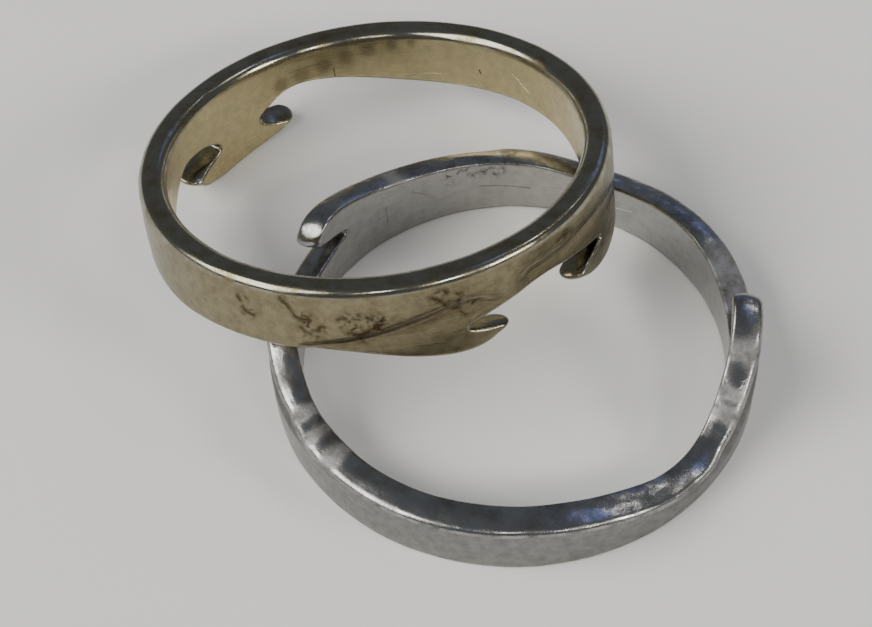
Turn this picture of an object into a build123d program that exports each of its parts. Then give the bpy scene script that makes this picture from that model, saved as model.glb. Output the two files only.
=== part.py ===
from build123d import *
import os
from math import cos, hypot, pi, radians, sin, sqrt

# A gimmel ring taken apart: two loose hoops whose scrolled edges hook into each other when the
# ring is worn. The white hoop lies flat on its plain rim with its scrolled edge up. The yellow
# hoop lies on it with its scrolled edge down, one side resting on the surface.
# Millimetres, +Z up, origin on the surface under the middle of the pair as it lies.
# Angles run anticlockwise seen from above a hoop's own plain rim or surface, 0 at its +X side.

# Section of the hoops
BORE_R = 8.55          # finger hole
BELLY_R = 9.76         # outside at the middle of the joined ring
RIM_R = 9.70           # outside at the plain rim
BELLY_Z = 2.4          # distance of the belly from the plain rim
BLANK_WIDTH = 5.4      # width of a hoop before its edge is scrolled
WHITE_RIM_ROUND = 0.14
GOLD_RIM_ROUND = 0.30

# Scrolled edge
EDGE_SLOPE = 0.20      # rise of the edge towards the bore, per millimetre of wall
CUT_IN_R = 7.4         # radii between which the edge is cut
CUT_OUT_R = 10.9

# The hoops as they lie
WHITE_MIDDLE = (2.56, -3.57)
GOLD_MIDDLE = (-2.645, 3.864)
GOLD_RIM_Z = 5.668
GOLD_TURN_X = -11.75
GOLD_TURN_Y = -2.99

# A leaf is a hooked tongue at the scrolled edge. Heights are measured from the plain rim at the
# middle of the wall. side is 1 where the leaf points to rising angles, -1 where it points back.
LEAF_COLUMNS = ("side", "crest_deg", "crest", "nose_deg", "nose", "tip_deg", "tip",
                "under_deg", "under", "root_deg", "root", "roof_deg", "roof")
WHITE_LEAVES = {
    "back": (1, 145.5, 4.00, 150.6, 3.72, 152.6, 3.20, 147.0, 2.72, 139.6, 2.28, 145.0, 1.92),
    "left": (-1, 180.0, 3.72, 175.0, 3.50, 172.6, 3.05, 177.0, 2.72, 182.6, 2.34, 177.0, 1.90),
    "right": (1, 351.5, 4.32, 355.4, 4.22, 357.4, 3.75, 353.0, 3.15, 347.0, 2.50, 352.5, 2.12),
}
GOLD_LEAVES = {
    "front": (1, 290.5, 3.94, 297.3, 3.72, 301.5, 3.38, 296.0, 3.17, 290.5, 2.84, 294.4, 2.58),
    "right": (-1, 344.0, 4.32, 330.0, 4.06, 323.4, 3.58, 329.0, 3.22, 335.6, 2.92, 330.0, 2.58),
    "back": (-1, 136.0, 4.08, 121.5, 3.67, 116.8, 3.36, 122.5, 3.20, 128.6, 2.72, 124.5, 2.22),
    "left": (1, 146.0, 4.16, 154.5, 3.87, 158.8, 3.45, 152.5, 3.18, 145.2, 2.72, 150.5, 2.20),
}

# The edge between the leaves: angle and width of the hoop there
WHITE_EDGE = [(5, 2.14), (13, 2.32), (24, 2.58), (38, 2.58), (52, 2.36), (66, 2.28), (80, 2.58), (98, 2.80),
              (116, 3.00), (131, 3.50),
              (159, 1.72), (166, 1.66),
              (188, 3.42), (194, 2.90), (202, 2.48), (215, 2.44), (230, 2.42), (248, 2.44), (267, 2.48),
              (284, 2.32), (296, 1.94), (307, 1.48), (317, 1.38), (325, 1.78), (334, 2.70), (343, 3.62)]
GOLD_EDGE = [(353, 4.04), (1, 3.48), (9, 3.06), (20, 2.72), (34, 2.54), (50, 2.52), (70, 2.54), (86, 2.38),
             (98, 2.05), (110, 1.75), (118, 1.80),
             (157, 1.98), (164, 1.88), (171, 2.12), (179, 2.44), (192, 2.83), (210, 3.14), (232, 3.06),
             (250, 3.04), (264, 3.15), (278, 3.64),
             (299, 2.36), (305, 2.16), (313, 2.08), (321, 2.28)]


def leaf_points(row):
    """The leaf's outline as (angle, width) points, in order of the walk round the hoop."""
    leaf = dict(zip(LEAF_COLUMNS, row))
    names = ("crest", "nose", "tip", "under", "root", "roof")
    points = [(leaf[name + "_deg"], leaf[name]) for name in names]
    return points if leaf["side"] > 0 else points[::-1]


def edge_walk(edge, leaves):
    """The whole scrolled edge as one closed walk: plain stretches with each leaf put in its place."""
    stretches = [leaf_points(row) for row in leaves.values()] + [[point] for point in edge]
    return [point for stretch in sorted(stretches) for point in stretch]


def cut_parameters(walk):
    """Running parameter of the walk, the root of each step's length, which keeps tight turns round."""
    middle = (BORE_R + BELLY_R) / 2
    total = [0.0]
    for (angle, width), (next_angle, next_width) in zip(walk, walk[1:] + walk[:1]):
        turn = (next_angle - angle + 180) % 360 - 180
        total.append(total[-1] + sqrt(hypot(turn * pi / 180 * middle, next_width - width)))
    return total


def edge_curve(walk, radius):
    """The scrolled edge drawn on a cylinder of this radius, higher towards the bore."""
    lift = EDGE_SLOPE * ((BORE_R + BELLY_R) / 2 - radius)
    points = [(radius * cos(radians(a)), radius * sin(radians(a)), width + lift) for a, width in walk]
    return Edge.make_spline(points, periodic=True, parameters=cut_parameters(walk))


def hoop(edge, leaves, rim_round):
    """A hoop standing on its plain rim: the section turned round Z and trimmed along its edge."""
    section = make_face(
        Polyline((BORE_R, BLANK_WIDTH), (BORE_R, 0), (RIM_R, 0))
        + ThreePointArc((RIM_R, 0), (BELLY_R, BELLY_Z), (RIM_R, BLANK_WIDTH))
        + Line((RIM_R, BLANK_WIDTH), (BORE_R, BLANK_WIDTH))
    )
    blank = revolve(Plane.XZ * section, Axis.Z, 360)
    blank = fillet(blank.edges().group_by(Axis.Z)[0], rim_round)
    walk = edge_walk(edge, leaves)
    ribbon = Face.make_surface_from_curves(edge_curve(walk, CUT_IN_R), edge_curve(walk, CUT_OUT_R))
    pieces = blank.split(ribbon, keep=Keep.ALL)
    return min((solid for piece in pieces for solid in piece.solids()), key=lambda solid: solid.bounding_box().min.Z)


def white_band():
    """White hoop, flat on its plain rim."""
    return Pos(*WHITE_MIDDLE, 0) * hoop(WHITE_EDGE, WHITE_LEAVES, WHITE_RIM_ROUND)


def gold_band():
    """Yellow hoop, plain rim up, leaning over the white one."""
    mirrored_edge = [(-angle % 360, width) for angle, width in GOLD_EDGE]
    mirrored_leaves = {
        name: (-row[0],) + tuple(value if i % 2 else -value % 360 for i, value in enumerate(row[1:]))
        for name, row in GOLD_LEAVES.items()
    }
    band = hoop(mirrored_edge, mirrored_leaves, GOLD_RIM_ROUND)
    band = Rot(180, 0, 0) * band
    return Pos(*GOLD_MIDDLE, GOLD_RIM_Z) * Rot(0, GOLD_TURN_Y, 0) * Rot(GOLD_TURN_X, 0, 0) * band


os.makedirs("parts", exist_ok=True)
for name, solid in {"white_band": white_band(), "gold_band": gold_band()}.items():
    solid.label = name
    export_step(solid, f"parts/{name}.step")
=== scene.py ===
import bmesh
import bpy
import numpy as np
from mathutils import Matrix, Vector
from mathutils.geometry import delaunay_2d_cdt


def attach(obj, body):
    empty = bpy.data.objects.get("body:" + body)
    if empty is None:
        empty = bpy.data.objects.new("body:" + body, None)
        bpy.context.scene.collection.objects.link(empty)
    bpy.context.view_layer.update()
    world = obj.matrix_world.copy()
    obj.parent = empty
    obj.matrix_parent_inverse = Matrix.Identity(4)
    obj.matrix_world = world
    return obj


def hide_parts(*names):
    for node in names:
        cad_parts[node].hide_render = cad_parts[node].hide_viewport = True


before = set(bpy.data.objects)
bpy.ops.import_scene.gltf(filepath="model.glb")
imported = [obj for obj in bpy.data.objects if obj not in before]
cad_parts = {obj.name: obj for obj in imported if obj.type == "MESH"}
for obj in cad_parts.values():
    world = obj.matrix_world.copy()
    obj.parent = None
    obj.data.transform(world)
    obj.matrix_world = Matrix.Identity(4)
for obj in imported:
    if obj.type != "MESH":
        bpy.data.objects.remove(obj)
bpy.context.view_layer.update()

# White hoop: one half of the ring, a flat band of white gold, turned to a plain rim and sawn to a
# scrolled edge with hooked leaves, then filed and polished by hand. It lies flat on its plain rim.
# Sizes in millimetres, angles in degrees, heights measured from the plain rim.
MM = 0.001
BORE_R = 8.55
BELLY_R = 9.76
RIM_R = 9.70
BELLY_H = 2.4
MID_R = (BORE_R + BELLY_R) / 2
EDGE_SLOPE = 0.20
# At a scroll line the band falls by SCROLL_DEPTH over SCROLL_FALL, and the leaf swells back over SCROLL_SWELL
SCROLL_DEPTH = 0.17
SCROLL_FALL = 0.45
SCROLL_SWELL = 0.55
# The surfaces of a hoop
OUTER, INNER, EDGE, RIM = range(4)
WHITE_MIDDLE = (2.56, -3.57)
WHITE_SEAM_DEG = 66
LEAF_COLUMNS = ("side", "crest_deg", "crest", "nose_deg", "nose", "tip_deg", "tip",
                "under_deg", "under", "root_deg", "root", "roof_deg", "roof")
WHITE_LEAVES = {
    "back": (1, 145.5, 4.00, 150.6, 3.72, 152.6, 3.20, 147.0, 2.72, 139.6, 2.28, 145.0, 1.92),
    "left": (-1, 180.0, 3.72, 175.0, 3.50, 172.6, 3.05, 177.0, 2.72, 182.6, 2.34, 177.0, 1.90),
    "right": (1, 351.9, 4.33, 356.5, 4.25, 358.4, 3.80, 353.6, 3.15, 347.0, 2.50, 352.5, 2.12),
}
WHITE_EDGE = [(5, 2.14), (13, 2.32), (24, 2.58), (38, 2.58), (52, 2.36), (66, 2.28), (80, 2.58), (98, 2.80),
              (116, 3.00), (131, 3.50),
              (159, 1.72), (166, 1.66),
              (188, 3.42), (194, 2.90), (202, 2.48), (215, 2.44), (230, 2.42), (248, 2.44), (267, 2.48),
              (284, 2.32), (296, 1.94), (307, 1.48), (317, 1.38), (325, 1.78), (334, 2.70), (343, 3.62)]
# Scroll lines on the outside, where a leaf comes out from under the band: angle and height
WHITE_SCROLLS = [
    [(86, 2.55), (98, 2.35), (112, 2.05), (126, 1.85), (139, 2.20)],
    [(212, 2.30), (202, 2.15), (194, 1.95), (183, 2.30)],
    [(300, 1.55), (312, 1.20), (325, 1.25), (338, 1.95), (347, 2.45)],
]
WHITE_RIM = {"outer": (0.12, 0.14), "inner": (0.12, 0.14)}
WHITE_EDGE_ROUND = {"outer": 0.26, "inner": 0.16}
WHITE_TIP_DRAW = 0.22
WHITE_CROWN = 0.04
# Scratches on the inside: two ends as angle and height, width, and how dark the dirt in them is
WHITE_SCRATCHES = [((124.5, 1.1), (124.9, 2.2), 0.03, 0.6), ((95.5, 1.52), (81.2, 1.29), 0.03, 0.4),
                   ((116, 2.3), (111, 1.7), 0.02, 0.4), ((60, 1.1), (50, 1.5), 0.02, 0.3)]
# Worn places as angle, height and reach: pitted on the inside, rubbed on the scrolled edge
WHITE_MARKS = {
    "marks": (INNER, [(91, 2.4, 0.35), (95, 2.5, 0.4), (99, 2.5, 0.4), (104, 2.4, 0.35)]),
    "rubbed": (EDGE, [(5, 2.2, 0.4), (12, 2.5, 0.6), (19, 2.6, 0.6), (329.3, 2.2, 0.28), (333, 2.7, 0.22),
                      (342.4, 3.6, 0.36), (204, 2.5, 0.3), (211, 2.4, 0.25), (219, 2.4, 0.35),
                      (120, 3.2, 0.4)]),
}


def walk_round(edge, leaves):
    """The scrolled edge as (angle, height) points in one closed walk: a leaf's points hold together,
    in rising order where it points forwards and reversed where it points back."""
    stretches = [[point] for point in edge]
    for row in leaves.values():
        leaf = dict(zip(LEAF_COLUMNS, row))
        names = ("crest", "nose", "tip", "under", "root", "roof")
        points = [(leaf[name + "_deg"], leaf[name]) for name in names]
        stretches.append(points if leaf["side"] > 0 else points[::-1])
    return np.array([point for stretch in sorted(stretches) for point in stretch])


def closed_spline(knots, values, period, at):
    """Cubic spline through the values whose bends match all round: the second derivatives solve the
    usual three-term equations, wrapped at the ends. Values grow by period in one turn of the knots."""
    step = np.diff(knots)
    rise = np.diff(np.append(values, values[0] + period)) / step
    before = np.roll(step, 1)
    unit = np.eye(len(values))
    system = (2 * (before + step)[:, None] * unit + step[:, None] * np.roll(unit, 1, axis=1)
              + before[:, None] * np.roll(unit, -1, axis=1))
    bend = np.linalg.solve(system, 6 * (rise - np.roll(rise, 1)))
    turn, place = np.divmod(at - knots[0], knots[-1] - knots[0])
    place = place + knots[0]
    k = np.clip(np.searchsorted(knots, place, side="right") - 1, 0, len(step) - 1)
    after = (k + 1) % len(step)
    u, w, h = knots[k + 1] - place, place - knots[k], step[k]
    return (bend[k] * u ** 3 + bend[after] * w ** 3) / (6 * h) + (values[k] - bend[k] * h * h / 6) * u / h \
        + (values[k] + rise[k] * h - bend[after] * h * h / 6) * w / h + turn * period


def edge_line(walk, seam_deg, spacing):
    """The scrolled edge unrolled at the middle of the wall: distance round and height, evenly spaced,
    from the seam angle once round. Knots step by the square root of each chord."""
    turns = (np.roll(walk[:, 0], -1) - walk[:, 0] + 180) % 360 - 180
    angles = walk[0, 0] + np.append(0, np.cumsum(turns)[:-1])
    rises = np.roll(walk[:, 1], -1) - walk[:, 1]
    knots = np.append(0, np.cumsum(np.sqrt(np.hypot(np.radians(turns) * MID_R, rises))))
    start = knots[np.argmin(np.abs(angles - seam_deg))]
    fine = start + np.linspace(0, knots[-1], 12001)
    along = np.radians(closed_spline(knots, angles, 360, fine)) * MID_R
    height = closed_spline(knots, walk[:, 1], 0, fine)
    run = np.append(0, np.cumsum(np.hypot(np.diff(along), np.diff(height))))
    count = int(run[-1] / spacing)
    at = np.interp(np.linspace(0, run[-1], count, endpoint=False), run, fine)
    return (np.radians(closed_spline(knots, angles, 360, at)) * MID_R,
            closed_spline(knots, walk[:, 1], 0, at))


def spread(values, reach, pick):
    """Each value becomes the pick, such as the least or the mean, of those within reach round the line."""
    return pick(np.stack([np.roll(values, shift) for shift in range(-reach, reach + 1)]), axis=0)


def edge_roundness(along, height, radius, spacing):
    """Radius of the rounded corner along the edge: the given one, less where the metal turns tighter."""
    ahead = np.append(along[1:], along[0] + 2 * np.pi * MID_R) - along
    up = np.roll(height, -1) - height
    heading = np.unwrap(np.arctan2(up, ahead))
    bend = -(np.roll(heading, -1) - heading) / spacing
    bend[-1] = bend[-2]
    bend = spread(bend, 1, np.mean)
    room = np.where(bend > 0.4, 0.5 / np.maximum(bend, 0.4), radius)
    reach = int(0.45 / spacing)
    return spread(spread(np.minimum(room, radius), reach, np.min), reach, np.mean)


def into_metal(along, height):
    """Unit direction square to the edge, in the unrolled wall, pointing into the metal."""
    length = 2 * np.pi * MID_R
    ds = (np.append(along[1:], along[0] + length) - np.append(along[-1] - length, along[:-1]))
    dh = np.roll(height, -1) - np.roll(height, 1)
    size = np.hypot(ds, dh)
    return dh / size, -ds / size


def smooth_rise(value, low, high):
    """0 below low, 1 above high, an even S between."""
    t = np.clip((value - low) / (high - low), 0, 1)
    return t * t * (3 - 2 * t)


def scroll_distance(angle, height, line):
    """Signed distance from a scroll line, positive on the leaf's side, and a weight that fades at the
    line's ends."""
    points = np.array(line, float)
    points[:, 0] = np.degrees(np.unwrap(np.radians(points[:, 0])))
    points = points[points[:, 0].argsort()]
    middle = points[:, 0].mean()
    turned = (angle - middle + 180) % 360 - 180 + middle
    level = np.interp(turned, points[:, 0], points[:, 1])
    slope = np.interp(turned, points[:, 0], np.gradient(points[:, 1], np.radians(points[:, 0]) * MID_R))
    fade = np.radians(np.minimum(turned - points[0, 0], points[-1, 0] - turned)) * MID_R
    return (height - level) / np.hypot(1, slope), smooth_rise(fade, -0.1, 0.9)


def outer_wall(angle, height, scrolls):
    """Outer radius: an arc bellied at mid height. At a scroll line the band rolls over and falls, and the
    leaf comes out from under it and swells back. Filing leaves it uneven by a hundredth of a millimetre."""
    radius = BELLY_R - (BELLY_R - RIM_R) * ((height - BELLY_H) / BELLY_H) ** 2
    for line in scrolls:
        distance, weight = scroll_distance(angle, height, line)
        shoulder = smooth_rise(distance, -SCROLL_FALL, 0.02) ** 2
        sunk = SCROLL_DEPTH * shoulder * np.exp(-np.maximum(distance, 0) / SCROLL_SWELL)
        radius = radius - weight * sunk
    turn = np.radians(angle)
    return radius + 0.006 * np.sin(11 * turn + 1.7 * height) + 0.004 * np.sin(23 * turn - 2.3 * height + 1.0)


def inner_wall(angle, height):
    """Inner radius: the bore, hollowed by wear in slow waves."""
    turn = np.radians(angle)
    return BORE_R + 0.006 * np.sin(9 * turn + 1.1 * height) + 0.005 * np.sin(17 * turn - 1.9 * height + 2.0)


def round_tips(angle, height, radius, leaves, most):
    """Angles with each leaf's end rounded like a fingernail seen from above: points near the tip draw back
    from it, by nothing at the middle of the wall and by seven tenths of most at its two faces."""
    across = np.clip((radius - MID_R) * 2 / (BELLY_R - BORE_R), -1, 1)
    draw = most * (1 - np.sqrt(1 - (0.96 * across) ** 2))
    for row in leaves.values():
        leaf = dict(zip(LEAF_COLUMNS, row))
        away = np.radians((angle - leaf["tip_deg"] + 180) % 360 - 180) * MID_R
        near = 1 - smooth_rise(np.hypot(away / 1.3, (height - leaf["tip"]) / 0.8), 0.2, 1.0)
        angle = angle - leaf["side"] * np.degrees(draw * near / MID_R)
    return angle


def spots(angle, height, table):
    """Soft mask of spots given as angle, height and reach: bell curves added up, raised by half and cut
    off at 1, so that a spot is full in its middle."""
    place = np.array(table)
    away = np.radians((angle[:, None] - place[:, 0] + 180) % 360 - 180) * MID_R
    above = height[:, None] - place[:, 1]
    bells = np.exp(-(away ** 2 + above ** 2) / place[:, 2] ** 2)
    return np.clip(1.5 * bells.sum(1), 0, 1)


def veins(angle, height, lines, reach):
    """Soft mask of thin lines through points given as angle and height: a bell curve of the distance."""
    least = np.full(len(angle), np.inf)
    for line in lines:
        for (from_deg, from_h), (to_deg, to_h) in zip(line, line[1:]):
            away = np.radians((angle - from_deg + 180) % 360 - 180) * MID_R
            above = height - from_h
            run = np.radians(to_deg - from_deg) * MID_R
            rise = to_h - from_h
            t = np.clip((away * run + above * rise) / (run ** 2 + rise ** 2), 0, 1)
            least = np.minimum(least, np.hypot(away - t * run, above - t * rise))
    return np.exp(-(least / reach) ** 2)


def wall_sheet(edge_s, edge_h, rim_s, rim_h, spacing):
    """Triangles of one unrolled wall: its outline goes along the rim, up the seam, back along the
    scrolled edge and down the seam, and rows of points fill it, each row set half a step over."""
    length = rim_s[-1] - rim_s[0]
    seam = np.linspace(0, 1, int(edge_h[0] / spacing) + 2)[1:-1, None]
    low, high = np.array([rim_s[0], rim_h]), np.array([edge_s[0], edge_h[0]])
    left = low + seam * (high - low)
    top = np.column_stack([np.append(edge_s, edge_s[0] + length), np.append(edge_h, edge_h[0])])
    bottom = np.column_stack([rim_s, np.full(len(rim_s), rim_h)])
    outline = np.concatenate([bottom, left + [length, 0], top[::-1], left[::-1]])
    row_gap = spacing * 0.87
    rows = np.arange(1, int((edge_h.max() - rim_h) / row_gap) + 1)
    columns = np.arange(int((length + 4) / spacing))
    start = rim_s[0] - 2
    free = np.ones((len(columns), len(rows) + 3), bool)
    row = np.round((outline[:, 1] - rim_h) / row_gap).astype(int)
    column = np.round((outline[:, 0] - start) / spacing - 0.5 * (row % 2)).astype(int)
    at_s, at_h = start + (column + 0.5 * (row % 2)) * spacing, rim_h + row * row_gap
    gap = np.hypot(at_s - outline[:, 0], at_h - outline[:, 1])
    close = (gap < 0.6 * spacing) & (row >= 0) & (row < free.shape[1])
    free[column[close], row[close]] = False
    at_column, at_row = np.nonzero(free[:, rows])
    at_row = rows[at_row]
    fill = np.column_stack([start + (at_column + 0.5 * (at_row % 2)) * spacing, rim_h + at_row * row_gap])
    points = np.concatenate([outline, fill])
    verts, _, faces, _, _, _ = delaunay_2d_cdt([Vector(p) for p in points.tolist()], [],
                                               [list(range(len(outline)))], 1, 1e-6)
    return np.array([tuple(v) for v in verts]), np.array(faces)


def band_of_quads(count_along, count_across):
    """Quads of a closed band: its vertices run across first, then along, and the last joins the first."""
    i, j = np.meshgrid(np.arange(count_along), np.arange(count_across - 1), indexing="ij")
    k = (i + 1) % count_along
    return np.stack([i * count_across + j, k * count_across + j, k * count_across + j + 1,
                     i * count_across + j + 1], axis=-1).reshape(-1, 4)


def hoop_mesh(name, edge, leaves, seam_deg, scrolls, rim, edge_round, tip_draw, crown, marks, cracks,
              spacing=0.11):
    """A hoop standing on its plain rim. Four surfaces meet in it: the outer and inner wall, each a
    sheet of radius(angle, height), the rim's face with its rounded corners carried round the hoop,
    and the scrolled edge's face, the same profile carried along the edge. Masks for the material go
    with it: cut on the scrolled edge, rim on the plain one, inside on the inner wall, veins at the
    cracks, painted shade on the outer wall beside the scrolls with any shade mask added in, and one
    for each table in marks. Two more values, height and round, place a point on the unrolled wall:
    its height, and its distance from the seam."""
    walk = walk_round(edge, leaves)
    edge_step = 0.055
    along, height = edge_line(walk, seam_deg, edge_step)
    length = 2 * np.pi * MID_R
    into_s, into_h = into_metal(along, height)
    sizes = {side: edge_roundness(along, height, edge_round[side], edge_step) for side in ("outer", "inner")}

    def slope_lift(radius):
        return EDGE_SLOPE * (MID_R - radius)

    def to_angle(s):
        return np.degrees(s / MID_R)

    def strip_ids(surface, shape):
        """A strip's first and last columns count as the walls they join, so that merged points agree."""
        ids = np.full(shape, surface)
        ids[:, 0], ids[:, -1] = OUTER, INNER
        return ids.ravel()

    def edge_at(depth, radius):
        return along + depth * into_s, height + depth * into_h + slope_lift(radius)

    columns = seam_deg / 180 * np.pi * MID_R + np.linspace(0, length, 521)
    angles = to_angle(columns[:-1])
    corner = np.linspace(0, np.pi / 2, 6)
    parts = []

    outer_s, outer_h = edge_at(sizes["outer"], BELLY_R)
    inner_s, inner_h = edge_at(sizes["inner"], BORE_R)
    flat, tris = wall_sheet(outer_s, outer_h, columns, rim["outer"][1], spacing)
    angle = to_angle(flat[:, 0])
    radius = outer_wall(angle, flat[:, 1], scrolls)
    parts.append((angle, flat[:, 1], radius, tris, np.full(len(flat), OUTER)))
    flat, tris = wall_sheet(inner_s, inner_h, columns, rim["inner"][1], spacing)
    angle = to_angle(flat[:, 0])
    radius = inner_wall(angle, flat[:, 1])
    parts.append((angle, flat[:, 1], radius, tris[:, ::-1], np.full(len(flat), INNER)))

    outer_r = outer_wall(to_angle(outer_s), outer_h, scrolls)
    inner_r = inner_wall(to_angle(inner_s), inner_h)
    across = np.linspace(0, 1, 9)[1:-1]
    from_outer = outer_r[:, None] - sizes["outer"][:, None] * (1 - np.cos(corner))
    from_inner = inner_r[:, None] + sizes["inner"][:, None] * (1 - np.cos(corner[::-1]))
    middle = from_outer[:, -1:] + (from_inner[:, :1] - from_outer[:, -1:]) * across
    turn = 2 * np.pi * np.arange(len(along))[:, None] / len(along)
    filed = (0.4 * np.sin(41 * turn + 1.5 * np.sin(13 * turn)) + 0.3 * np.sin(67 * turn + 2.0)
             + 0.5 * np.sin(29 * turn + 4.0) * (2 * across - 1))
    bulge = crown * (1 + 0.5 * filed) * (1 - (2 * across - 1) ** 2)
    depth = np.concatenate([sizes["outer"][:, None] * (1 - np.sin(corner)), -bulge,
                            sizes["inner"][:, None] * (1 - np.sin(corner[::-1]))], axis=1)
    radius = np.concatenate([from_outer, middle, from_inner], axis=1)
    lift = slope_lift(np.clip(radius, BORE_R, BELLY_R))
    lift[:, 0], lift[:, -1] = slope_lift(BELLY_R), slope_lift(BORE_R)
    edge_s = along[:, None] + depth * into_s[:, None]
    edge_h = height[:, None] + depth * into_h[:, None] + lift
    parts.append((to_angle(edge_s).ravel(), edge_h.ravel(), radius.ravel(), band_of_quads(*radius.shape),
                  strip_ids(EDGE, radius.shape)))

    out_wide, out_high = rim["outer"]
    in_wide, in_high = rim["inner"]
    rim_outer = outer_wall(angles, out_high, scrolls)[:, None] - out_wide * (1 - np.cos(corner))
    rim_inner = inner_wall(angles, in_high)[:, None] + in_wide * (1 - np.cos(corner[::-1]))
    middle = rim_outer[:, -1:] + (rim_inner[:, :1] - rim_outer[:, -1:]) * across
    radius = np.concatenate([rim_outer, middle, rim_inner], axis=1)
    level_outer = out_high * (1 - np.sin(corner))
    level_inner = in_high * (1 - np.sin(corner[::-1]))
    level = np.broadcast_to(np.concatenate([level_outer, 0 * across, level_inner]), radius.shape)
    turned = np.broadcast_to(angles[:, None], radius.shape)
    parts.append((turned.ravel(), level.ravel(), radius.ravel(), band_of_quads(*radius.shape)[:, ::-1],
                  strip_ids(RIM, radius.shape)))

    first = np.cumsum([0] + [len(part[0]) for part in parts])
    angle, height_of, radius_of = (np.concatenate([part[k] for part in parts]) for k in range(3))
    surface = np.concatenate([part[4] for part in parts])
    faces = [face for part, start in zip(parts, first) for face in (part[3] + start).tolist()]
    crack_reach = 0.10
    masks = {"cut": surface == EDGE, "rim": surface == RIM, "inside": surface == INNER, "height": height_of,
             "round": np.radians((angle - seam_deg) % 360) * MID_R,
             "veins": (surface == OUTER) * veins(angle, height_of, cracks, crack_reach)}
    for mask, (on_surface, table) in marks.items():
        masks[mask] = (surface == on_surface) * spots(angle, height_of, table)
    # Painted shade: a dark band on the outer wall along each scroll line, across the crease and fading onto
    # the leaf, with the shade mask's painted dark reflection added to it
    painted_shade = 0 * angle
    for line in scrolls:
        distance, weight = scroll_distance(angle, height_of, line)
        shade = np.exp(-(np.minimum(distance + 0.05, 0) / 0.3) ** 2 - np.maximum(distance, 0) / 0.9)
        painted_shade = np.maximum(painted_shade, weight * shade)
    masks["painted_shade"] = (surface == OUTER) * painted_shade + masks.get("shade", 0)
    angle = np.radians(round_tips(angle, height_of, radius_of, leaves, tip_draw))
    points = MM * np.column_stack([radius_of * np.cos(angle), radius_of * np.sin(angle), height_of])
    mesh = bpy.data.meshes.new(name)
    mesh.from_pydata(points.tolist(), [], faces)
    for mask, values in masks.items():
        mesh.attributes.new(mask, "FLOAT", "POINT").data.foreach_set("value", values.astype(np.float32))
    seams = bmesh.new()
    seams.from_mesh(mesh)
    bmesh.ops.remove_doubles(seams, verts=seams.verts, dist=2e-7)
    bmesh.ops.delete(seams, geom=[vert for vert in seams.verts if not vert.link_faces], context="VERTS")
    seams.to_mesh(mesh)
    seams.free()
    mesh.polygons.foreach_set("use_smooth", np.ones(len(mesh.polygons), bool))
    hoop = bpy.data.objects.new(name, mesh)
    bpy.context.scene.collection.objects.link(hoop)
    return hoop


white_hoop = hoop_mesh("white_hoop", WHITE_EDGE, WHITE_LEAVES, WHITE_SEAM_DEG, WHITE_SCROLLS, WHITE_RIM,
                       WHITE_EDGE_ROUND, WHITE_TIP_DRAW, WHITE_CROWN, WHITE_MARKS, [])
white_hoop.data.transform(Matrix.Translation(Vector((*WHITE_MIDDLE, 0)) * MM))


def linear(code):
    """sRGB hex colour as linear RGBA."""
    srgb = np.array([int(code[i:i + 2], 16) for i in (1, 3, 5)]) / 255
    rgb = np.where(srgb <= 0.04045, srgb / 12.92, ((srgb + 0.055) / 1.055) ** 2.4)
    return (*rgb.tolist(), 1.0)


def add(tree, kind, feeds, **settings):
    """Adds a node with its settings; feeds gives its sockets values, or the sockets that feed them."""
    made = tree.nodes.new(kind)
    for name, value in settings.items():
        setattr(made, name, value)
    for socket, value in feeds.items():
        if isinstance(value, bpy.types.NodeSocket):
            tree.links.new(value, made.inputs[socket])
        else:
            made.inputs[socket].default_value = value
    return made


# Patterns of the worn metal, as how many fit in a millimetre, and the height of one step of its relief
MOTTLE_PER_MM = 2.4
CLOTH_LINES_PER_MM = 9.0
CLOTH_BREAKS_PER_MM = 0.5
CRACKS_PER_MM = 2.3
CRACK_GAPS_PER_MM = 2.6
PATCHES_PER_MM = 1.1
GRAINS_PER_MM = 8.0
FILE_STROKES_PER_MM = 1.2
RELIEF_STEP = 0.0025


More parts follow.
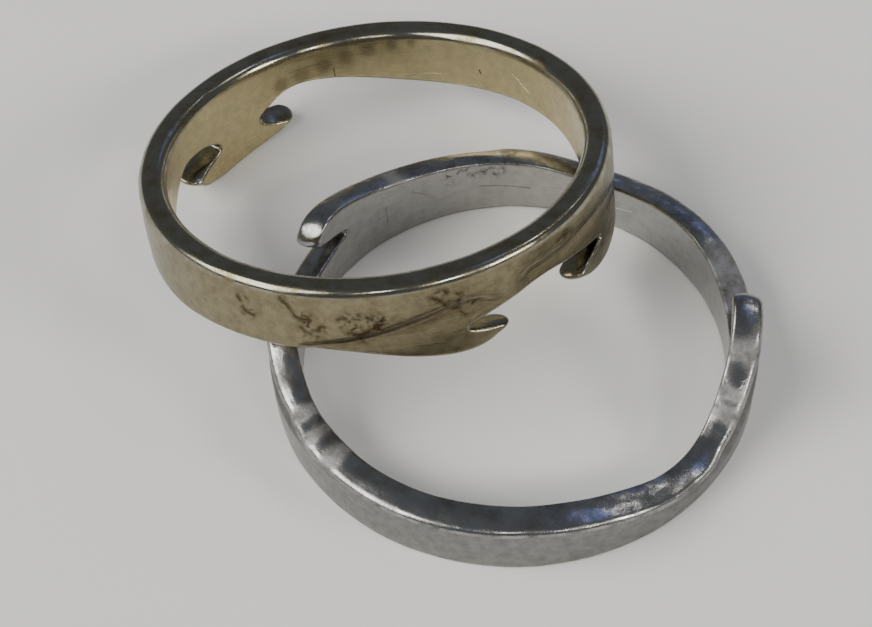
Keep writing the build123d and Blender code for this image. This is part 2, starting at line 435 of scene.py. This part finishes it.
def worn_gold(name, clean, dull, inner, face, tarnish_and_shade, polish, satin, seam_deg, scratches):
    """Gold alloy rolled to a band, filed and polished by hand, then worn. The outer wall is mottled from
    clean to dull, the inner wall has the colour inner, and the filed faces shine in the colour face.
    The outer colours are darker than inner partly from wear and partly as painted shade.
    The colour tarnish fills the cracks as stains and the scratches as dirt; as painted shade it darkens
    the outer wall beside the scrolls, and as a painted dark reflection the band of the shade mask.
    Rubbed places are dull and grainy. Colours are sRGB hex; polish is the roughness of the filed faces
    and satin that of the walls. Scratches go on the inner wall, unrolled from the angle seam_deg."""
    material = bpy.data.materials.new(name)
    material.use_nodes = True
    tree = material.node_tree
    shader = tree.nodes["Principled BSDF"]
    shader.inputs["Metallic"].default_value = 1.0
    place = add(tree, "ShaderNodeTexCoord", {}).outputs["Object"]
    in_mm = add(tree, "ShaderNodeVectorMath", {0: place, "Scale": 1 / MM}, operation="SCALE").outputs[0]
    cut, rim, inside, marks, vein, rubbed, painted_shade, along, height = (
        add(tree, "ShaderNodeAttribute", {}, attribute_name=mask).outputs["Fac"]
        for mask in ("cut", "rim", "inside", "marks", "veins", "rubbed", "painted_shade", "round", "height"))
    filed = add(tree, "ShaderNodeMath", {0: cut, 1: rim}, operation="MAXIMUM").outputs[0]

    # Mottle of 0.4 mm, and lines of 0.1 mm drawn round the hoop by the polishing cloth
    mottle = add(tree, "ShaderNodeTexNoise",
                 {"Vector": in_mm, "Scale": MOTTLE_PER_MM, "Detail": 6.0, "Roughness": 0.65})
    dulled = add(tree, "ShaderNodeMapRange", {0: mottle.outputs[0], 1: 0.38, 2: 0.66}).outputs[0]
    flat = add(tree, "ShaderNodeVectorMath", {0: in_mm, 1: (CLOTH_BREAKS_PER_MM, CLOTH_BREAKS_PER_MM, 0.0)},
               operation="MULTIPLY").outputs[0]
    rise = add(tree, "ShaderNodeCombineXYZ", {0: 0.0, 1: 0.0, 2: height}).outputs[0]
    stretched = add(tree, "ShaderNodeVectorMath", {0: rise, 1: (1.0, 1.0, CLOTH_LINES_PER_MM), 2: flat},
                    operation="MULTIPLY_ADD").outputs[0]
    lines = add(tree, "ShaderNodeTexNoise", {"Vector": stretched, "Scale": 1.0, "Detail": 4.0}).outputs[0]

    # Cracks of tarnish 0.1 to 0.2 mm wide: round cells of 0.4 mm where the marks are, and along the veins
    bent = add(tree, "ShaderNodeVectorMath", {0: mottle.outputs[1], 1: (0.5, 0.5, 0.5), 2: in_mm},
               operation="MULTIPLY_ADD").outputs[0]
    cells = add(tree, "ShaderNodeTexVoronoi", {"Vector": bent, "Scale": CRACKS_PER_MM},
                feature="DISTANCE_TO_EDGE").outputs[0]
    crack = add(tree, "ShaderNodeMapRange", {0: cells, 1: 0.02, 2: 0.24, 3: 1.0, 4: 0.0}).outputs[0]
    whole = add(tree, "ShaderNodeTexNoise",
                {"Vector": in_mm, "Scale": CRACK_GAPS_PER_MM, "Detail": 5.0, "Roughness": 0.6}).outputs[0]
    broken = add(tree, "ShaderNodeMapRange", {0: whole, 1: 0.44, 2: 0.60}).outputs[0]
    lined = add(tree, "ShaderNodeMath", {0: crack, 1: broken}, operation="MULTIPLY").outputs[0]
    spotted = add(tree, "ShaderNodeMath", {0: lined, 1: marks}, operation="MULTIPLY").outputs[0]
    uneven = add(tree, "ShaderNodeMapRange", {0: whole, 1: 0.36, 2: 0.52, 3: 0.25, 4: 1.0}).outputs[0]
    veined = add(tree, "ShaderNodeMath", {0: vein, 1: uneven}, operation="MULTIPLY").outputs[0]
    cracked = add(tree, "ShaderNodeMath", {0: spotted, 1: veined}, operation="MAXIMUM").outputs[0]

    # Scratches on the inside, drawn on the unrolled wall
    wall = add(tree, "ShaderNodeCombineXYZ", {0: along, 1: height}).outputs[0]
    score, dirt = 0.0, 0.0
    for start, end, width, darkness in scratches:
        x, y = np.radians((start[0] - seam_deg) % 360) * MID_R, start[1]
        dx, dy = np.radians(end[0] - start[0]) * MID_R, end[1] - start[1]
        long = float(np.hypot(dx, dy))
        away = add(tree, "ShaderNodeVectorMath", {0: wall, 1: (x, y, 0)}, operation="SUBTRACT").outputs[0]
        across = add(tree, "ShaderNodeVectorMath", {0: away, 1: (-dy / long, dx / long, 0)},
                     operation="DOT_PRODUCT").outputs["Value"]
        run = add(tree, "ShaderNodeVectorMath", {0: away, 1: (dx / long, dy / long, 0)},
                  operation="DOT_PRODUCT").outputs["Value"]
        beside = add(tree, "ShaderNodeMath", {0: across}, operation="ABSOLUTE").outputs[0]
        line = add(tree, "ShaderNodeMapRange",
                   {0: beside, 1: 0.3 * width, 2: width, 3: 1.0, 4: 0.0}).outputs[0]
        between = add(tree, "ShaderNodeMath", {0: run, 1: long / 2, 2: long / 2},
                      operation="COMPARE").outputs[0]
        cut_in = add(tree, "ShaderNodeMath", {0: line, 1: between}, operation="MULTIPLY").outputs[0]
        score = add(tree, "ShaderNodeMath", {0: cut_in, 1: score}, operation="MAXIMUM").outputs[0]
        dirt = add(tree, "ShaderNodeMath", {0: cut_in, 1: darkness, 2: dirt},
                   operation="MULTIPLY_ADD").outputs[0]
    score = add(tree, "ShaderNodeMath", {0: score, 1: inside}, operation="MULTIPLY").outputs[0]
    dirt = add(tree, "ShaderNodeMath", {0: dirt, 1: inside, 2: cracked},
               operation="MULTIPLY_ADD").outputs[0]

    # Colour: mottled outside, worn inside, patchy on the filed faces, with tarnish in the cracks, dirt in
    # the scratches and painted shade beside the scrolls over it
    outside = add(tree, "ShaderNodeMix", {0: dulled, 6: linear(clean), 7: linear(dull)},
                  data_type="RGBA").outputs[2]
    faint = add(tree, "ShaderNodeMath", {0: dulled, 1: 0.4}, operation="MULTIPLY").outputs[0]
    worn = add(tree, "ShaderNodeMix", {0: faint, 6: linear(inner), 7: linear(clean)},
               data_type="RGBA").outputs[2]
    base = add(tree, "ShaderNodeMix", {0: inside, 6: outside, 7: worn}, data_type="RGBA").outputs[2]
    patchy = add(tree, "ShaderNodeTexNoise",
                 {"Vector": in_mm, "Scale": PATCHES_PER_MM, "Detail": 7.0, "Roughness": 0.7}).outputs[0]
    patch = add(tree, "ShaderNodeMapRange", {0: patchy, 1: 0.42, 2: 0.64}).outputs[0]
    shine = add(tree, "ShaderNodeMix", {0: patch, 6: linear(face), 7: linear(dull)},
                data_type="RGBA").outputs[2]
    base = add(tree, "ShaderNodeMix", {0: filed, 6: base, 7: shine}, data_type="RGBA").outputs[2]
    # Tarnish in the cracks, dirt in the scratches, painted shade beside the scrolls and a painted dark
    # reflection in the shade band, all mixed towards the one dark colour
    stain_and_shade = add(tree, "ShaderNodeMath", {0: painted_shade, 1: 0.45, 2: dirt}, operation="MULTIPLY_ADD",
                use_clamp=True).outputs[0]
    stained_and_shaded = add(tree, "ShaderNodeMix", {0: stain_and_shade, 6: base, 7: linear(tarnish_and_shade)},
                  data_type="RGBA").outputs[2]
    tree.links.new(stained_and_shaded, shader.inputs["Base Color"])

    # Roughness: lines on the walls, patches on the filed faces, and more where rubbed or cracked
    walls = add(tree, "ShaderNodeMapRange",
                {0: lines, 1: 0.3, 2: 0.7, 3: satin - 0.07, 4: satin + 0.07}).outputs[0]
    sheen = add(tree, "ShaderNodeMapRange", {0: patch, 3: polish - 0.04, 4: polish + 0.14}).outputs[0]
    faces = add(tree, "ShaderNodeMix", {0: filed, 2: walls, 3: sheen}).outputs[0]
    abraded = add(tree, "ShaderNodeMath", {0: rubbed, 1: 0.42, 2: faces},
                  operation="MULTIPLY_ADD").outputs[0]
    rough = add(tree, "ShaderNodeMath", {0: cracked, 1: 0.3, 2: abraded},
                operation="MULTIPLY_ADD").outputs[0]
    tree.links.new(rough, shader.inputs["Roughness"])

    # Relief in steps of RELIEF_STEP: grain, coarser where rubbed, file strokes as cells of 0.8 mm on the
    # scrolled edge, cracks and scratches sunk in, and the lines of the cloth
    grain = add(tree, "ShaderNodeTexNoise",
                {"Vector": in_mm, "Scale": GRAINS_PER_MM, "Detail": 5.0, "Roughness": 0.6}).outputs[0]
    coarse = add(tree, "ShaderNodeMath", {0: rubbed, 1: 5.0, 2: 1.0}, operation="MULTIPLY_ADD").outputs[0]
    grainy = add(tree, "ShaderNodeMath", {0: grain, 1: coarse}, operation="MULTIPLY").outputs[0]
    strokes = add(tree, "ShaderNodeTexVoronoi", {"Vector": bent, "Scale": FILE_STROKES_PER_MM},
                  feature="SMOOTH_F1").outputs[0]
    struck = add(tree, "ShaderNodeMath", {0: strokes, 1: cut}, operation="MULTIPLY").outputs[0]
    relief = add(tree, "ShaderNodeMath", {0: struck, 1: 14.0, 2: grainy},
                 operation="MULTIPLY_ADD").outputs[0]
    pitted = add(tree, "ShaderNodeMath", {0: cracked, 1: -5.0, 2: relief},
                 operation="MULTIPLY_ADD").outputs[0]
    drawn = add(tree, "ShaderNodeMath", {0: lines, 1: 1.5, 2: pitted}, operation="MULTIPLY_ADD").outputs[0]
    scored = add(tree, "ShaderNodeMath", {0: score, 1: -6.0, 2: drawn},
                 operation="MULTIPLY_ADD").outputs[0]
    bump = add(tree, "ShaderNodeBump", {"Height": scored, "Strength": 1.0, "Distance": RELIEF_STEP * MM})
    tree.links.new(bump.outputs[0], shader.inputs["Normal"])
    return material


# White gold: a grey alloy, bright where it was filed, with dark tarnish in its pits; its outer walls are
# darker than its inside partly from wear and partly as painted shade
white_gold = worn_gold("white_gold", clean="#8a8987", dull="#737270", inner="#adacaa", face="#a6a6a5",
                       tarnish_and_shade="#3a3836", polish=0.20, satin=0.30, seam_deg=WHITE_SEAM_DEG,
                       scratches=WHITE_SCRATCHES)
white_hoop.data.materials.append(white_gold)
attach(white_hoop, "white_hoop")
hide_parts("white_band")

# Yellow hoop: the other half, of pale yellow gold, with softer rounded rims. It has been put down with
# its plain rim up and its scrolled edge down, and leans on the white hoop.
GOLD_MIDDLE = (-2.645, 3.864)
GOLD_RIM_Z = 5.668
GOLD_TURN_X = -11.75
GOLD_TURN_Y = -2.99
GOLD_SEAM_DEG = 70
GOLD_LEAVES = {
    "front": (1, 290.5, 3.94, 297.3, 3.72, 301.5, 3.38, 296.0, 3.17, 290.5, 2.84, 294.4, 2.58),
    "right": (-1, 344.0, 4.32, 330.0, 4.06, 323.4, 3.58, 329.0, 3.22, 335.6, 2.92, 330.0, 2.58),
    "back": (-1, 136.0, 4.08, 121.5, 3.67, 116.8, 3.36, 122.5, 3.20, 128.6, 2.72, 124.5, 2.22),
    "left": (1, 146.0, 4.16, 154.5, 3.87, 158.8, 3.45, 152.5, 3.18, 145.2, 2.72, 150.5, 2.20),
}
GOLD_EDGE = [(353, 4.04), (1, 3.48), (9, 3.06), (20, 2.72), (34, 2.54), (50, 2.52), (70, 2.54), (86, 2.38),
             (98, 2.05), (110, 1.75), (118, 1.80),
             (157, 1.98), (164, 1.88), (171, 2.12), (179, 2.44), (192, 2.83), (210, 3.14), (232, 3.06),
             (250, 3.04), (264, 3.15), (278, 3.64),
             (299, 2.36), (305, 2.16), (313, 2.08), (321, 2.28)]
GOLD_SCROLLS = [
    [(249, 2.90), (256, 2.72), (262, 2.56), (269, 2.28), (274, 2.06), (280, 1.82), (286, 1.60), (292, 1.58),
     (299, 1.95)],
    [(303, 1.45), (308, 1.34), (318, 1.35), (325, 1.31), (331, 1.32), (336, 1.42), (344, 1.76), (352, 2.2),
     (4, 2.8)],
    [(88, 2.3), (100, 1.75), (112, 1.40), (121, 1.60), (128, 2.3)],
    [(196, 2.5), (182, 2.1), (168, 1.55), (156, 1.55), (146, 2.3)],
]
GOLD_RIM = {"outer": (0.34, 0.42), "inner": (0.42, 0.50)}
GOLD_EDGE_ROUND = {"outer": 0.15, "inner": 0.11}
GOLD_TIP_DRAW = 0.50
GOLD_CROWN = 0.03
# Tarnished spots on the outside: angle, height and reach
GOLD_MARKS = [(238, 1.0, 0.3), (239.5, 1.5, 0.3), (249.2, 0.65, 0.3), (253.5, 1.3, 0.3), (255, 2.0, 0.4),
              (257, 1.7, 0.3), (263, 1.3, 0.3), (268, 1.25, 0.35), (265.5, 1.95, 0.45), (271.3, 1.65, 0.4),
              (284, 0.85, 0.35), (287.5, 1.2, 0.45), (290.5, 1.65, 0.4), (319, 0.77, 0.3),
              (322.8, 2.24, 0.25)]
# Cracks in the tarnish, as angle and height from point to point
GOLD_CRACKS = [
    [(237.2, 0.85), (237.9, 1.15), (238.6, 1.5), (240.4, 1.6), (242.3, 1.54)],
    [(248.2, 0.58), (249.8, 0.72), (250.4, 0.95), (251.4, 1.3), (253.0, 1.36), (255.2, 1.40)],
    [(252.4, 1.78), (253.6, 1.98), (255.6, 2.14)],
    [(255.3, 1.88), (256.4, 1.92), (256.9, 1.62), (258.2, 1.66)],
    [(261.3, 1.30), (263.2, 1.24)],
    [(266.2, 1.10), (267.6, 1.20), (268.9, 1.36)],
    [(261.8, 1.72), (262.8, 1.96), (265.0, 2.06), (266.8, 2.02), (268.2, 1.84)],
    [(269.6, 1.72), (271.4, 1.62)],
    [(282.6, 0.80), (284.2, 0.98), (285.6, 1.30), (286.8, 1.10), (288.4, 1.22), (289.4, 0.96), (288.2, 0.86)],
    [(285.5, 0.52), (286.1, 0.74)],
    [(316.2, 0.76), (319.0, 0.70), (321.8, 0.84)],
]
# A painted dark reflection as a soft band across the inside, and scratches there with the seam where
# the band was soldered
GOLD_SHADE = [(120, 1.55, 0.34), (113, 1.40, 0.36), (106, 1.22, 0.38), (99, 1.02, 0.38), (92, 0.82, 0.34),
              (85, 0.66, 0.28), (79, 0.55, 0.2)]
GOLD_SCRATCHES = [((103, 1.45), (103, 2.1), 0.045, 0.9), ((57.9, 1.58), (57.5, 1.80), 0.05, 0.9),
                  ((83.7, 2.30), (58.7, 1.87), 0.05, 0.0), ((46, 1.2), (39, 1.9), 0.03, 0.3)]


def mirrored(places):
    """Places seen from the other rim: angles run the other way, and what follows each angle stays."""
    return [(-place[0] % 360, *place[1:]) for place in places]


gold_seam_deg = -GOLD_SEAM_DEG % 360
gold_leaves = {
    leaf: (-row[0],) + tuple(value if i % 2 else -value % 360 for i, value in enumerate(row[1:]))
    for leaf, row in GOLD_LEAVES.items()
}
gold_scrolls = [mirrored(line) for line in GOLD_SCROLLS]
gold_cracks = [mirrored(line) for line in GOLD_CRACKS]
gold_marks = {"marks": (OUTER, mirrored(GOLD_MARKS)), "shade": (INNER, mirrored(GOLD_SHADE))}
gold_scratches = [(*mirrored(scratch[:2]), *scratch[2:]) for scratch in GOLD_SCRATCHES]
gold_hoop = hoop_mesh("gold_hoop", mirrored(GOLD_EDGE), gold_leaves, gold_seam_deg, gold_scrolls, GOLD_RIM,
                      GOLD_EDGE_ROUND, GOLD_TIP_DRAW, GOLD_CROWN, gold_marks, gold_cracks)
upside_down = Matrix.Rotation(np.pi, 4, "X")
lean = Matrix.Rotation(np.radians(GOLD_TURN_Y), 4, "Y") @ Matrix.Rotation(np.radians(GOLD_TURN_X), 4, "X")
gold_hoop.data.transform(Matrix.Translation(Vector((*GOLD_MIDDLE, GOLD_RIM_Z)) * MM) @ lean @ upside_down)
# Yellow gold: a pale greyed yellow, warmer and brighter on the inside, with brown tarnish. The outside
# is darker partly from wear and partly as painted shade, and the filed faces are greyed as a painted
# reflection of the cool, dim room.
yellow_gold = worn_gold("yellow_gold", clean="#91886e", dull="#7a7259", inner="#c3b58b", face="#979588",
                        tarnish_and_shade="#4a3d2b", polish=0.17, satin=0.30, seam_deg=gold_seam_deg,
                        scratches=gold_scratches)
gold_hoop.data.materials.append(yellow_gold)
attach(gold_hoop, "gold_hoop")
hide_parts("gold_band")

# Table: a plain pale matt surface under both hoops, in a dim room. A broad low lamp at the left lights
# the walls, small lamps draw the highlights on the edges, and two faint blue ones stand for daylight.
table = bpy.data.objects.new("table", bpy.data.meshes.new("table"))
TABLE_REACH = 1200
reach = TABLE_REACH * MM
table.data.from_pydata([(-reach, -reach, 0), (reach, -reach, 0), (reach, reach, 0), (-reach, reach, 0)], [],
                       [(0, 1, 2, 3)])
bpy.context.scene.collection.objects.link(table)
paint = bpy.data.materials.new("matt_paint")
paint.use_nodes = True
paint.node_tree.nodes["Principled BSDF"].inputs["Base Color"].default_value = linear("#f8f8f6")
paint.node_tree.nodes["Principled BSDF"].inputs["Roughness"].default_value = 0.9
paint.node_tree.nodes["Principled BSDF"].inputs["Specular IOR Level"].default_value = 0.0
table.data.materials.append(paint)

world = bpy.data.worlds.new("dim_room")
world.use_nodes = True
world.node_tree.nodes["Background"].inputs["Color"].default_value = (0.84, 0.90, 1.0, 1.0)
world.node_tree.nodes["Background"].inputs["Strength"].default_value = 0.18
bpy.context.scene.world = world


def softbox(name, azimuth, elevation, distance, size, power, colour):
    """A lamp of this width and height, in metres, at an azimuth (0 is +X) and elevation seen from the
    hoops, at a distance in metres, facing them. Power is in watts."""
    data = bpy.data.lights.new(name, "AREA")
    data.shape = "RECTANGLE"
    data.size, data.size_y = size
    data.energy = power
    data.color = linear(colour)[:3]
    lamp = bpy.data.objects.new(name, data)
    a, e = np.radians(azimuth), np.radians(elevation)
    toward = Vector((np.cos(e) * np.cos(a), np.cos(e) * np.sin(a), np.sin(e)))
    lamp.location = toward * distance
    lamp.rotation_euler = toward.to_track_quat("Z", "Y").to_euler()
    bpy.context.scene.collection.objects.link(lamp)


softbox("lamp_right", -28, 26, 0.50, (0.14, 0.10), 0.8, "#fffaf0")
softbox("lamp_side", -60, 34, 0.60, (0.10, 0.08), 0.45, "#fffaf0")
softbox("lamp_high", 18, 51, 0.60, (0.08, 0.06), 0.13, "#fffaf0")
softbox("lamp_front", -97, 42, 0.60, (0.07, 0.08), 0.20, "#fffaf2")
softbox("lamp_left", -165, 36, 0.60, (0.56, 0.40), 3.9, "#fffcf6")
softbox("lamp_back", 46, 39, 0.60, (0.04, 0.05), 0.04, "#fffaf2")
softbox("window", 64, 27, 0.80, (0.40, 0.07), 0.09, "#8ea2ff")
softbox("sky", 12, 62, 0.60, (0.22, 0.14), 0.07, "#8ea2ff")

# Camera: above and in front of the hoops, turned a little about its axis as the photograph was.
PHOTO_FOCAL_PX = 2000
PHOTO_WIDTH_PX = 872
CAMERA_PLACE = (-0.464, -53.147, 64.590)
CAMERA_PITCH = 50.924
CAMERA_ROLL = -3.232
pitch, roll = np.radians(CAMERA_PITCH), np.radians(CAMERA_ROLL)
ahead = Vector((0, np.cos(pitch), -np.sin(pitch)))
level, rise = Vector((1, 0, 0)), Vector((0, np.sin(pitch), np.cos(pitch)))
right = np.cos(roll) * level + np.sin(roll) * rise
up = -np.sin(roll) * level + np.cos(roll) * rise
lens = bpy.data.cameras.new("camera")
lens.sensor_width = 36
lens.lens = PHOTO_FOCAL_PX / PHOTO_WIDTH_PX * lens.sensor_width
lens.clip_start = 0.005
camera = bpy.data.objects.new("camera", lens)
facing = Matrix((right, up, -ahead)).transposed().to_4x4()
camera.matrix_world = Matrix.Translation(Vector(CAMERA_PLACE) * MM) @ facing
bpy.context.scene.collection.objects.link(camera)
bpy.context.scene.camera = camera
